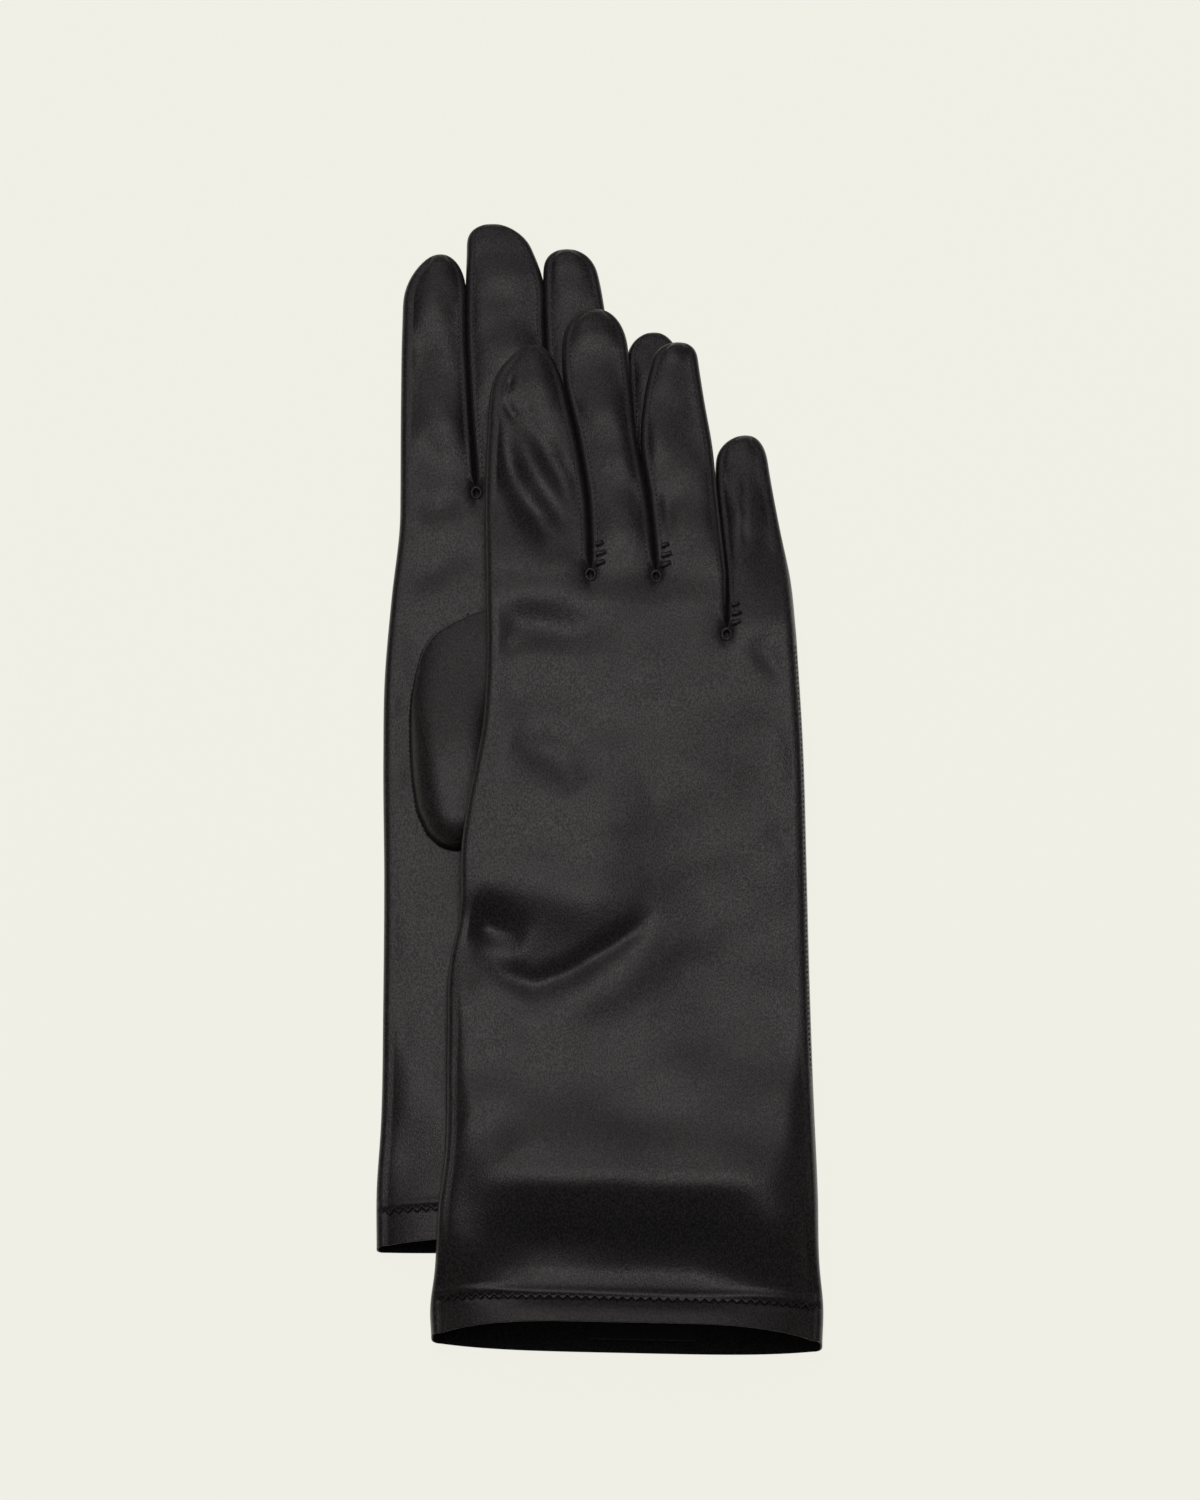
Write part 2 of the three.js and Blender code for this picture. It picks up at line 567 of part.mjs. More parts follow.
/** The label inside the cuff, on the hem's layers and draped as they are. */
function label() {
  const [left, right] = [-0.5, 0.5].map((half) => LABEL.fromMiddle + half * LABEL.width);
  const low = HEM_WALL + SEAM_GAP;
  const high = low + LABEL.thickness;
  const at = (v) => [draped(left, v, low), draped(right, v, low), draped(right, v, high), draped(left, v, high)];
  return bar([LABEL.fromEdge, LABEL.fromEdge + LABEL.depth].map(at));
}

function rightGlove() {
  const glove = new THREE.Group();
  const under = overThumbs();
  const hand = trank(RIGHT_LOFT, DRAPED_STATIONS, draped).subtract(thumbOval(0, under - CUT_PAST, under + 2 * WALL));
  glove.add(piece("right_trank", hand, satin("satin")));
  glove.add(piece("right_hem_stitching", hemStitching(RIGHT_LOFT, draped), thread("thread")));
  glove.add(piece("right_side_seam", sideSeam(DRAPED_STATIONS, draped), thread("thread")));
  FINGER_ORDER.forEach((name) => glove.add(...fingerPieces("right", name, fingerRest(name))));
  const thumbFloor = under - THUMB_CLEARANCE - THUMB_THICKNESS;
  glove.add(piece("right_thumb", thumb(RIGHT_THUMB_PATH, thumbFloor, false), satin("satin")));
  glove.add(piece("right_thumb_seam", thumbSeam(under - SEAM_GAP - THREAD), thread("thread")));
  glove.add(piece("right_label", label(), tape("label")));
  return glove;
}

// ---------------------------------------------------------------- the pair
const gloves = new THREE.Group();
gloves.add(placeGlove(leftGlove(), LEFT_PLACE), placeGlove(rightGlove(), RIGHT_PLACE));

// The origin is under the middle of the pair.
const extent = new THREE.Box3().setFromObject(gloves, true);
const middle = extent.getCenter(new THREE.Vector3());
gloves.position.set(-middle.x, -middle.y, -extent.min.z);

const pair = new THREE.Group();
pair.add(gloves);
export default pair;
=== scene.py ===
import math

import bpy
import numpy as np
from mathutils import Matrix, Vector


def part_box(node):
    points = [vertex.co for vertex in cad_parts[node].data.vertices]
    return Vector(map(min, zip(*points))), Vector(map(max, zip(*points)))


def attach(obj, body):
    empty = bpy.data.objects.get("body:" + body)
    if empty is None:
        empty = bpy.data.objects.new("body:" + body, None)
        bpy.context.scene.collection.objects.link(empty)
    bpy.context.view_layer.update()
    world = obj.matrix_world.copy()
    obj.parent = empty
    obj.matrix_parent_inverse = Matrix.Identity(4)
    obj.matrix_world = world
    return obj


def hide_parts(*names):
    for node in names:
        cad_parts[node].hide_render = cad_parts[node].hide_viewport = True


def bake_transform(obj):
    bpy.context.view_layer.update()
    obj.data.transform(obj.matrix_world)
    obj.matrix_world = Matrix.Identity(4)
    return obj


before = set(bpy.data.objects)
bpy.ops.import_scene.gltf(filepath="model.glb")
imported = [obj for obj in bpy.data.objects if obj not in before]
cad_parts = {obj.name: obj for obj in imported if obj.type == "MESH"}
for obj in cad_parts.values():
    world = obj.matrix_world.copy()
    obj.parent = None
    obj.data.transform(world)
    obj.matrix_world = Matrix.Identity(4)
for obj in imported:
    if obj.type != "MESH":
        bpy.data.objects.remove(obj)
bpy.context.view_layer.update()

# A pair of black satin opera gloves lying flat: the left glove palm up, the right glove back up on it.
# Lengths are in millimetres until a mesh is made. Each glove has its own plan: u runs across it from its
# middle line, and v runs from the edge of its cuff towards the fingertips.

MM = 0.001
CLOTH = 0.45  # thickness of the satin
HEM = 10.0  # from the edge of the cuff to its stitching
HAND_THICKNESS = 5.6
FINGER_THICKNESS = 6.0
SIDE_HEIGHT = 2.8
SIDE_REACH = 3.0  # how far the rolled side edge reaches into the glove
FOURCHETTE_INSET = 2.3  # how far in from a finger's edge its seam shows
KNUCKLES = 222.0
LITTLE_CROTCH = 205.0
SIDE_FALL = (0.58, 3.0, 3.0)  # slope, start and softness of the right glove's fall past the left one's side
CUFF_FALL = (0.62, 2.0, 3.5)  # and past its cuff
PUFF_LIMIT = 12  # up to this fall at the side, the upper face, held up by the air inside, doesn't follow
PUFF_FADE = 5  # and less so where the cuff falls by this much
CUFF_SAG = (-4, 20, 30)  # where the right glove sags past the cuff: its middle, half width and fade
OVER_THUMBS = 12.4  # height of the right glove's underside over the thumbs


# ------------------------------------------------------------------ small maths
def smooth(x):
    x = np.clip(x, 0, 1)
    return x * x * (3 - 2 * x)


def curve(table, x):
    """A smooth curve through a list of (place, value) rows."""
    t = np.asarray(table, float)
    p, q = t[:, 0], t[:, 1]
    slope = np.gradient(q, p)
    x = np.clip(x, p[0], p[-1])
    i = np.clip(np.searchsorted(p, x) - 1, 0, len(p) - 2)
    h = p[i + 1] - p[i]
    s = (x - p[i]) / h
    a, b = 2 * s**3 - 3 * s**2 + 1, s**3 - 2 * s**2 + s
    c, d = -2 * s**3 + 3 * s**2, s**3 - s**2
    return a * q[i] + b * h * slope[i] + c * q[i + 1] + d * h * slope[i + 1]


def soft_above(x, k):
    """x where it is well above 0, and 0 where it is well below, with a rounded turn of size k."""
    return k * np.logaddexp(0, x / k)


def rounded(distance, radius):
    """Height share of a rounded edge at a distance in from it."""
    near = np.clip(distance / radius, 0, 1)
    return np.sqrt(1 - (1 - near) ** 2)


def from_path(u, v, points):
    """Distance of each place from a line through points, and how far along it, from 0 to 1."""
    best = np.full(np.shape(u), 1e9)
    share = np.zeros(np.shape(u))
    p = np.asarray(points, float)
    lengths = np.hypot(*np.diff(p, axis=0).T)
    ends = np.concatenate([[0], np.cumsum(lengths)])
    for (a, b), length, start in zip(zip(p[:-1], p[1:]), lengths, ends):
        d = (b - a) / length
        t = np.clip((u - a[0]) * d[0] + (v - a[1]) * d[1], 0, length)
        off = np.hypot(u - a[0] - t * d[0], v - a[1] - t * d[1])
        closer = off < best
        best = np.where(closer, off, best)
        share = np.where(closer, (start + t) / ends[-1], share)
    return best, share


def fold(u, v, points, width, height):
    """A soft ridge, or a valley if height is below 0, along a path, dying away at its ends."""
    distance, share = from_path(u, v, points)
    ends = np.clip(np.sin(math.pi * share), 0, 1) ** 0.8
    return height * ends * np.exp(-((distance / width) ** 2))


def ripple(u, v, seed, size, height):
    """Slow unevenness of cloth: a few waves that cross each other."""
    total = np.zeros(np.shape(u))
    for k in range(5):
        angle = 1.3 * seed + 2.4 * k
        step = size * (0.75 + 0.17 * k)
        total += np.sin((u * math.cos(angle) + v * math.sin(angle)) * 2 * math.pi / step + 1.7 * k + seed)
    return total * height / 5


# ------------------------------------------------------------------ the two gloves
class Glove:
    """One glove's plan and how it lies. The tables are read by curve()."""

    def __init__(self, side, turn, left, right, fingers, thickness, arch, thickness_at_sides=None):
        self.side, self.turn = side, math.radians(turn)
        self.left, self.right, self.fingers = left, right, fingers
        self.thickness_table, self.arch_table = thickness, arch
        self.side_table = thickness_at_sides or thickness
        low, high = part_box(f"{side}_hem_stitching")
        middle = (low + high) / 2 / MM
        self.x = middle.x + HEM * math.sin(self.turn)
        self.y = middle.y - HEM * math.cos(self.turn)

    def world(self, u, v, z):
        c, s = math.cos(self.turn), math.sin(self.turn)
        return np.stack(np.broadcast_arrays(self.x + u * c - v * s, self.y + u * s + v * c, z), -1)

    def plan(self, x, y):
        c, s = math.cos(self.turn), math.sin(self.turn)
        return (x - self.x) * c + (y - self.y) * s, (y - self.y) * c - (x - self.x) * s

    def point(self, u, v, z):
        return Vector(self.world(u, v, z) * MM)


LEFT = Glove(
    "left",
    1.4,
    left=[(0, -54.4), (17, -54), (36, -52.4), (72, -50.9), (108, -49.8), (144, -49.2), (167, -48.3),
          (191, -45.8), (214, -42.9), (222, -42.6)],
    right=[(0, 54.5), (23, 53.1), (41, 52.4), (77, 50.2), (113, 48.3), (172, 45.5), (205, 42.8)],
    fingers={
        "index": dict(body=[(222, -42.6, -21.3), (250, -41.8, -22.4), (270, -41.0, -22.85),
                            (284, -40.0, -22.5), (293, -38.5, -22.5)],
                      tip=(-29.8, 292.4), round=15, blunt=2.2),
        "middle": dict(body=[(222, -21.3, 0.4), (250, -22.8, -0.35), (270, -23.2, -0.75), (284, -22.8, -1.1),
                             (293, -22.3, -4.0), (301, -22.0, -7.6)], tip=(-15.2, 301.0), round=8, blunt=2.8),
        "ring": dict(body=[(222, 0.4, 21.2), (250, -0.7, 19.4), (270, -1.15, 16.6), (284, -1.1, 14.6),
                           (293, -0.5, 12.4)], tip=(5.6, 293.0), round=8, blunt=3.0),
        "little": dict(body=[(205, 22.6, 42.8), (225, 22.4, 41.3), (245, 21.8, 38.8), (268, 21.6, 36.0)],
                       tip=(29.5, 267.8), round=10, blunt=2.2),
    },
    thickness=[(0, 9), (10, 8.9), (36, 6.8), (62, 5.6), (118, HAND_THICKNESS), (230, HAND_THICKNESS)],
    arch=[(0, 26), (12, 26), (62, 5), (118, 3.6), (230, 3.6)],
)
RIGHT = Glove(
    "right",
    -1.3,
    left=[(0, -54.6), (9, -55.1), (18, -54.1), (36, -53.5), (48, -52.3), (83, -52.3), (108, -51.9),
          (119, -49.8), (142, -49.4), (153, -48.1), (164, -46.3), (175, -44.6), (191, -43.8), (222, -44.6)],
    right=[(0, 54.5), (12, 54.5), (23, 53.2), (41, 52.4), (77, 50.2), (113, 48.3), (137, 47.2), (172, 45.5),
           (205, 42.9)],
    fingers={
        "index": dict(body=[(222, -44.6, -15.2), (245, -45.3, -16.8), (262, -45.1, -20.0),
                            (275, -44.6, -23.1), (291, -42, -26.6)], tip=(-32.4, 290.6), round=15, blunt=2.0),
        "middle": dict(body=[(222, -15.2, 3.2), (245, -16.8, 0.3), (262, -19.9, -3.0), (281, -24.3, -5.2),
                             (301, -24.6, -7.6)], tip=(-15.4, 301.6), round=12, blunt=2.3),
        "ring": dict(body=[(222, 3.2, 22.9), (246, 0.3, 19.8), (262, -2.3, 17.9), (273, -1.8, 15.8),
                           (292, 1.6, 12.6)], tip=(8.0, 292.0), round=7, blunt=3.2),
        "little": dict(body=[(205, 23.3, 42.9), (222, 22.4, 40.9), (240, 20.4, 37.2), (253, 19.0, 34.7),
                             (267, 19.6, 32.4)], tip=(27.4, 267.1), round=9, blunt=2.4),
    },
    thickness=[(0, 15.6), (6, 14.0), (12, 11.0), (20, 6.2), (27, 5.0), (34, 7.9), (41, 10.7), (50, 10.7),
               (62, 9.4), (90, 6.8), (118, HAND_THICKNESS), (230, HAND_THICKNESS)],
    thickness_at_sides=[(0, 15.6), (12, 13.6), (24, 11.6), (34, 10.6), (45, 10), (62, 8.9), (90, 6.8),
                        (118, HAND_THICKNESS), (230, HAND_THICKNESS)],
    arch=[(0, 36), (12, 36), (40, 17), (62, 9), (90, 5), (118, 3.8), (230, 3.8)],
)
ORDER = ["index", "middle", "ring", "little"]


def left_thickness(v):
    return curve(LEFT.thickness_table, np.clip(v, 0, 230))


def falls(u, v):
    """How far the right glove falls past the left glove's side and past its cuff, and the place under it."""
    p = RIGHT.world(u, v, 0.0)
    lu, lv = LEFT.plan(p[..., 0], p[..., 1])
    side_slope, side_start, side_soft = SIDE_FALL
    cuff_slope, cuff_start, cuff_soft = CUFF_FALL
    by_side = side_slope * soft_above(lu - curve(LEFT.right, np.clip(lv, 0, 205)) - side_start, side_soft)
    by_cuff = cuff_slope * soft_above(-lv - cuff_start, cuff_soft)
    return by_side, by_cuff, lv


def rest_height(glove, u, v):
    """Height of a glove's underside. The right one lies on the left glove and falls to the table past it."""
    if glove is LEFT:
        return np.zeros(np.shape(u))
    by_side, by_cuff, lv = falls(u, v)
    on_forearm = left_thickness(lv) + 0.5
    over_thumbs = 1 - smooth((u + 12) / 32)
    rise = over_thumbs * smooth((v - 72) / 66) + (1 - over_thumbs) * smooth((v - 50) / 150)
    carried = on_forearm + (OVER_THUMBS - on_forearm) * rise - 0.6 * smooth((v - 212) / 10)
    return soft_above(carried - np.hypot(by_side, by_cuff), 1.0)


def puff(glove, u, v):
    """How much higher than its underside's fall the right glove's upper face stays past the left glove."""
    if glove is LEFT:
        return np.zeros(np.shape(u))
    by_side, by_cuff, _ = falls(u, v)
    return np.minimum(by_side, PUFF_LIMIT) * np.exp(-by_cuff / PUFF_FADE)


# ------------------------------------------------------------------ folds
def right_folds(u, v):
    """Folds on the back of the right glove."""
    z = fold(u, v, [(-64, 127), (-50, 121), (-41, 117.5), (-31, 113)], 5.2, -3.4)
    z += fold(u, v, [(-45, 111), (-36, 104), (-28, 101), (-18, 105), (-6, 113), (6, 123)], 3.4, -1.7)
    z += fold(u, v, [(-46, 131), (-30, 126), (-14, 126), (2, 135)], 8, 0.6)
    z += fold(u, v, [(-38, 92), (-26, 89), (-10, 97), (10, 110)], 7, 0.9)
    z += fold(u, v, [(-12, 108), (-2, 116), (4, 118)], 2.2, -0.45)
    z += fold(u, v, [(-36, 172), (-24, 168), (-16, 158)], 6, -1.1)
    z += fold(u, v, [(-30, 158), (-14, 152), (2, 158)], 9, 0.6)
    z += fold(u, v, [(-54, 213), (-38, 207), (-20, 204), (-6, 206)], 6.5, -1.5)
    z += fold(u, v, [(-41, 202), (-36, 196)], 4.5, -0.6)
    z += fold(u, v, [(-42, 252), (-34, 240), (-26, 224)], 3.4, -1.3)
    z += fold(u, v, [(30, 203), (36, 196), (42, 190)], 3, -0.6)
    z += fold(u, v, [(36, 149), (44, 142)], 3, -0.5)
    z += fold(u, v, [(-44, 62), (-34, 50)], 7, -0.8)
    z += ripple(u, v, 1.0, 50, 0.95) * smooth(v / 30)
    z += ripple(u, v, 4.0, 24, 0.34) * smooth(v / 30)
    z += ripple(u, v, 7.0, 11, 0.05) * smooth(v / 30)
    return z


def left_folds(u, v):
    """Folds on the palm of the left glove, where it shows."""
    z = fold(u, v, [(-46, 160), (-42, 158)], 3, -0.6)
    z += fold(u, v, [(-48, 138), (-44, 140)], 3, -0.6)
    z += fold(u, v, [(-44, 196), (-34, 198), (-24, 208)], 5, -0.7)
    z += fold(u, v, [(-38, 214), (-26, 220)], 4, -0.6)
    z += ripple(u, v, 2.0, 44, 0.85) * smooth(v / 30)
    z += ripple(u, v, 5.0, 22, 0.32) * smooth(v / 30)
    z += ripple(u, v, 8.0, 11, 0.05) * smooth(v / 30)
    return z


def crotches(glove):
    """The places where two fingers meet."""
    inner = [(glove.fingers[name]["body"][0][2], KNUCKLES) for name in ("index", "middle")]
    ring = glove.fingers["little"]["body"][0]
    return [*inner, (ring[1], LITTLE_CROTCH)]


def hem_shape(u, v):
    """The turned hem: a little proud of the arm, pulled in along its stitching, with a roll beside it."""
    z = 0.25 * (1 - smooth((v - HEM + 0.6) / 0.8))
    z -= 0.3 * np.exp(-(((v - HEM) / 0.8) ** 2))
    z += 0.5 * np.exp(-(((v - HEM - 1.9) / 1.2) ** 2))
    z += 0.10 * np.sin(u * 2 * math.pi / 2.6) * np.exp(-(((v - HEM) / 1.6) ** 2))
    return z


def hand_top(glove, u, v, left, right):
    """Height of the upper side of the hand and forearm."""
    sag_middle, sag_half, sag_fade = CUFF_SAG
    to_side = smooth((np.abs(u - sag_middle) - sag_half) / sag_fade)
    thickness = curve(glove.thickness_table, v) * (1 - to_side) + curve(glove.side_table, v) * to_side
    arch = curve(glove.arch_table, v)
    edge = np.minimum(u - left, right - u)
    z = SIDE_HEIGHT + (thickness - SIDE_HEIGHT) * rounded(edge, np.minimum(arch, (right - left) / 2))
    shape = right_folds(u, v) if glove is RIGHT else left_folds(u, v)
    z = z + shape * smooth(edge / 9) + hem_shape(u, v)
    for cu, cv in crotches(glove):
        z = z - 1.1 * np.exp(-(((u - cu) / 1.5) ** 2) - ((v - cv) / 3.2) ** 2)
        z = z - 0.7 * np.exp(-(((u - cu) / 5) ** 2) - ((v - cv - 2) / 8) ** 2)
    return rest_height(glove, u, v) + puff(glove, u, v) + z


def hand_bottom(glove, u, v):
    return rest_height(glove, u, v) + 0.08


# ------------------------------------------------------------------ surfaces in the plan
COLUMNS = {"index": 26, "middle": 18, "ring": 19, "little": 19}
WALL_STEPS = 14
WALL_SQUARENESS = 3.0  # 2 is an ellipse, and more is flatter with a sharper fold at the edge


def crowded(count):
    """Shares from 0 to 1, closer together at both ends."""
    x = np.linspace(0, 1, count + 1)
    return x - 0.09 * np.sin(2 * math.pi * x)


def hand_rows():
    hem = np.concatenate([np.arange(0, 15, 0.6), np.arange(15, 196, 1.5)])
    near = np.arange(196.5, LITTLE_CROTCH - 0.2, 0.8)
    return np.concatenate([hem, near, [LITTLE_CROTCH]])


def knuckle_rows():
    return np.concatenate([[LITTLE_CROTCH], np.arange(206, KNUCKLES - 0.3, 0.85), [KNUCKLES]])


def inset_edges(glove, v, upper):
    """The edges of the upper face of the hand, between its two rolled sides."""
    left = curve(glove.left, v)
    if not upper:
        return left + SIDE_REACH, left, curve(glove.right, v) - SIDE_REACH, curve(glove.right, v)
    ring, little = glove.fingers["ring"]["body"][0][2], glove.fingers["little"]["body"][0][1]
    share = (v - LITTLE_CROTCH) / (KNUCKLES - LITTLE_CROTCH)
    right = little + (ring - little) * share
    roll = FOURCHETTE_INSET * smooth(share * 3)
    return left + SIDE_REACH, left, right - roll, right


def group_bounds(glove, v, upper):
    """Where the columns of each finger lie across the hand at each row."""
    inner_left, _, inner_right, _ = inset_edges(glove, v, upper)
    fingers = glove.fingers
    at_knuckles = [fingers["index"]["body"][0][2], fingers["middle"]["body"][0][2]]
    at_cuff = [-18.0, 2.0]
    share = v / KNUCKLES
    middle = [low + (high - low) * share for low, high in zip(at_cuff, at_knuckles)]
    if upper:
        return [inner_left, *middle, inner_right]
    ring = 22.0 + (fingers["little"]["body"][0][1] - 22.0) * v / LITTLE_CROTCH
    return [inner_left, *middle, ring, inner_right]


def across(bounds, names):
    """Columns of places across the hand: rows by columns."""
    out = [bounds[0][:, None]]
    for k, name in enumerate(names):
        shares = crowded(COLUMNS[name])[1:]
        out.append(bounds[k][:, None] + (bounds[k + 1] - bounds[k])[:, None] * shares)
    return np.concatenate(out, 1)


def wall(seam_u, edge_u, v, top, bottom):
    """The rolled side between the upper and the lower face: rows by steps of (u, v, z)."""
    angle = np.linspace(math.pi / 2, -math.pi / 2, WALL_STEPS + 1)
    reach = np.abs(np.cos(angle)) ** (2 / WALL_SQUARENESS)
    reach[[0, -1]] = 0
    height = 0.5 + 0.5 * np.sign(angle) * np.abs(np.sin(angle)) ** (2 / WALL_SQUARENESS)
    u = seam_u[:, None] + (edge_u - seam_u)[:, None] * reach
    z = bottom[:, None] + (top - bottom)[:, None] * height
    return u, np.broadcast_to(v[:, None], u.shape), z


class Patch:
    """A grid of points with its faces turned outwards."""

    def __init__(self, glove, group, u, v, z, flip):
        self.points = glove.world(u, np.broadcast_to(v, np.shape(u)), z)
        self.group, self.flip = group, flip


def hem_recess(glove, u, v, left, right):
    """The upper edge of an open mouth draws back a little in its middle."""
    x = (2 * u - left - right) / (right - left)
    return (2.4 if glove is RIGHT else 1.0) * (1 - x**4) * (1 - smooth(v / 12))


def hand_patches(glove):
    patches = []
    for rows, names, upper in ((hand_rows(), ORDER, False), (knuckle_rows(), ORDER[:3], True)):
        in_left, out_left, in_right, out_right = inset_edges(glove, rows, upper)
        u = across(group_bounds(glove, rows, upper), names)
        v = np.broadcast_to(rows[:, None], u.shape)
        low, high = out_left[:, None], (curve(glove.right, rows) if upper else out_right)[:, None]
        top = hand_top(glove, u, v, low, high)
        bottom = hand_bottom(glove, u, v)
        back = hem_recess(glove, u, v, low, high)
        patches.append(Patch(glove, "hand", u, v + back, top, False))
        patches.append(Patch(glove, "hand", u, v - 0.8 * back, bottom, True))
        lu, lv, lz = wall(in_left, out_left, rows, top[:, 0], bottom[:, 0])
        lv = lv + back[:, :1] * np.linspace(1, -0.8, WALL_STEPS + 1)
        patches.append(Patch(glove, "hand", lu, lv, lz, True))
        ru, rv, rz = wall(in_right, out_right, rows, top[:, -1], bottom[:, -1])
        rv = rv + back[:, -1:] * np.linspace(1, -0.8, WALL_STEPS + 1)
        patches.append(Patch(glove, "hand", ru, rv, rz, False))
    return patches


def finger_rows(spec):
    start, end = spec["body"][0][0], spec["tip"][1]
    body = end - spec["round"]
    near = np.linspace(0, 1, 8) ** 1.3 * 6 + start
    straight = np.arange(start + 7, body, 1.2)
    tip = body + spec["round"] * np.sin(np.linspace(0, math.pi / 2, 14))
    return np.concatenate([near, straight, tip])


def finger_shape(glove, name, rows):
    """Edges and roundness of a finger at each row."""
    spec = glove.fingers[name]
    body = np.asarray(spec["body"], float)
    left, right = curve(body[:, [0, 1]], rows), curve(body[:, [0, 2]], rows)
    tip_u, tip_v = spec["tip"]
    share = np.clip((rows - (tip_v - spec["round"])) / spec["round"], 0, 1)
    shrink = np.sqrt(np.clip(1 - share ** spec["blunt"], 0, 1))
    centre = (left + right) / 2
    centre = centre + (tip_u - centre) * share**2
    half = (right - left) / 2 * shrink
    return centre - half, centre + half, shrink


def finger_floor(glove, name, rows):
    if glove is LEFT:
        return np.zeros(len(rows)) + 0.05
    start = rows[0]
    if name == "little":
        return 8.6 - 0.12 * (rows - start)
    return OVER_THUMBS - 1 - 0.055 * (rows - start)


def finger_detail(glove, name, u, v):
    """Small folds on a finger's upper side."""
    seed = ORDER.index(name) + (10 if glove is RIGHT else 20)
    z = ripple(u, v, seed, 27, 1.0) + ripple(u, v, seed + 2.0, 15, 0.32) + ripple(u, v, seed + 0.5, 8, 0.07)
    if glove is RIGHT and name == "index":
        z += fold(u, v, [(-46, 268), (-38, 251), (-29, 236), (-17, 220)], 5.0, -2.7)
        z += fold(u, v, [(-37, 270), (-24, 250), (-17, 234)], 3.6, -1.3)
        z += fold(u, v, [(-41.5, 273), (-36, 266)], 1.2, -0.7)
        z += fold(u, v, [(-40, 278), (-38.5, 277)], 1.5, -1.2)
    if glove is RIGHT and name == "ring":
        z += fold(u, v, [(5, 248), (6, 232)], 2.2, -0.7)
    if glove is RIGHT and name == "little":
        z += fold(u, v, [(27, 256), (28, 228)], 0.5, -0.35)
    return z


def finger_patches(glove, name):
    spec = glove.fingers[name]
    rows = finger_rows(spec)
    left, right, shrink = finger_shape(glove, name, rows)
    distance = rows - rows[0]
    outer_left = name == "index"
    outer_right = name == "little"
    roll = FOURCHETTE_INSET * smooth(distance / 5)
    width = right - left
    past_little = name == "ring"  # its outer side goes on from the side of the hand
    left_in = np.minimum(np.where(outer_left, SIDE_REACH, roll), width * 0.3)
    right_in = np.where(outer_right, SIDE_REACH, np.where(past_little, FOURCHETTE_INSET, roll))
    right_in = np.minimum(right_in, width * 0.3)
    a, b = left + left_in * np.sqrt(shrink), right - right_in * np.sqrt(shrink)
    a, b = np.where(shrink > 0, a, left), np.where(shrink > 0, b, right)
    shares = crowded(COLUMNS[name])
    u = a[:, None] + (b - a)[:, None] * shares
    v = np.broadcast_to(rows[:, None], u.shape)
    x = 2 * shares - 1
    take = smooth(distance / (30 if name == "little" else 20))[:, None]
    hand_low = curve(glove.left, rows)[:, None]
    hand_high = curve(glove.right, np.minimum(rows, LITTLE_CROTCH))[:, None]
    floor = finger_floor(glove, name, rows)[:, None]
    half = FINGER_THICKNESS / 2 * (0.06 + 0.94 * shrink)[:, None]
    half = np.where(shrink[:, None] > 0, half, 0)
    middle = floor + FINGER_THICKNESS / 2 - 0.4 * (1 - shrink[:, None])
    dome = 1 - 0.2 * np.abs(x) ** 2.3
    own_top = middle + half * dome + finger_detail(glove, name, u, v) * shrink[:, None] * (1 - np.abs(x) ** 4)
    own_bottom = middle - half * (1 - 0.1 * np.abs(x) ** 2.4)
    flat_v = spec["body"][0][0] + 9 * (1 - np.exp(-distance / 9))[:, None] + 0 * v
    on_hand = hand_top(glove, u, flat_v, np.minimum(hand_low, u - 3), np.maximum(hand_high, u + 3))
    top = own_top * take + on_hand * (1 - take)
    bottom = own_bottom * take + hand_bottom(glove, u, flat_v) * (1 - take)
    left_group = name if outer_left else f"{name}_fourchette_left"
    right_group = name if outer_right else f"{name}_fourchette_right"
    lu, lv, lz = wall(a, left, rows, top[:, 0], bottom[:, 0])
    ru, rv, rz = wall(b, right, rows, top[:, -1], bottom[:, -1])
    return [
        Patch(glove, name, u, v, top, False),
        Patch(glove, name, u, v, bottom, True),
        Patch(glove, left_group, lu, lv, lz, True),
        Patch(glove, right_group, ru, rv, rz, False),
    ]


# ------------------------------------------------------------------ meshes
def grid_faces(shape, flip):
    rows, columns = shape
    i = np.arange(rows * columns).reshape(rows, columns)
    quads = np.stack([i[:-1, :-1], i[:-1, 1:], i[1:, 1:], i[1:, :-1]], -1).reshape(-1, 4)
    return quads[:, ::-1] if flip else quads


def joined(patches):
    """All the points and faces of some patches, with points in one place made one."""
    points = np.concatenate([p.points.reshape(-1, 3) for p in patches])
    starts = np.cumsum([0, *[p.points.shape[0] * p.points.shape[1] for p in patches]])
    faces = np.concatenate([grid_faces(p.points.shape[:2], p.flip) + s for p, s in zip(patches, starts)])
    _, first, place = np.unique(np.round(points * 500).astype(np.int64), axis=0, return_index=True,
                                return_inverse=True)
    return points[first], place.reshape(-1)[faces]


def face_normals(points, faces):
    a, b, c, d = (points[faces[:, k]] for k in range(4))
    return np.cross(c - a, d - b)


def key_of(points):
    return [tuple(k) for k in np.round(points * 500).astype(np.int64)]


def whole_normals(patches):
    """The normal at every place of a glove, across all its pieces."""
    points, faces = joined(patches)
    normals = np.zeros_like(points)
    flat = face_normals(points, faces)
    for k in range(4):
        np.add.at(normals, faces[:, k], flat)
    normals /= np.maximum(np.linalg.norm(normals, axis=1, keepdims=True), 1e-12)
    return dict(zip(key_of(points), normals))


def tidy_faces(faces):
    """Faces without repeated corners, as tuples."""
    out = []
    for f in faces.tolist():
        corners = [c for k, c in enumerate(f) if c != f[k - 1]]
        if len(set(corners)) == len(corners) and len(corners) > 2:
            out.append(tuple(corners))
    return out


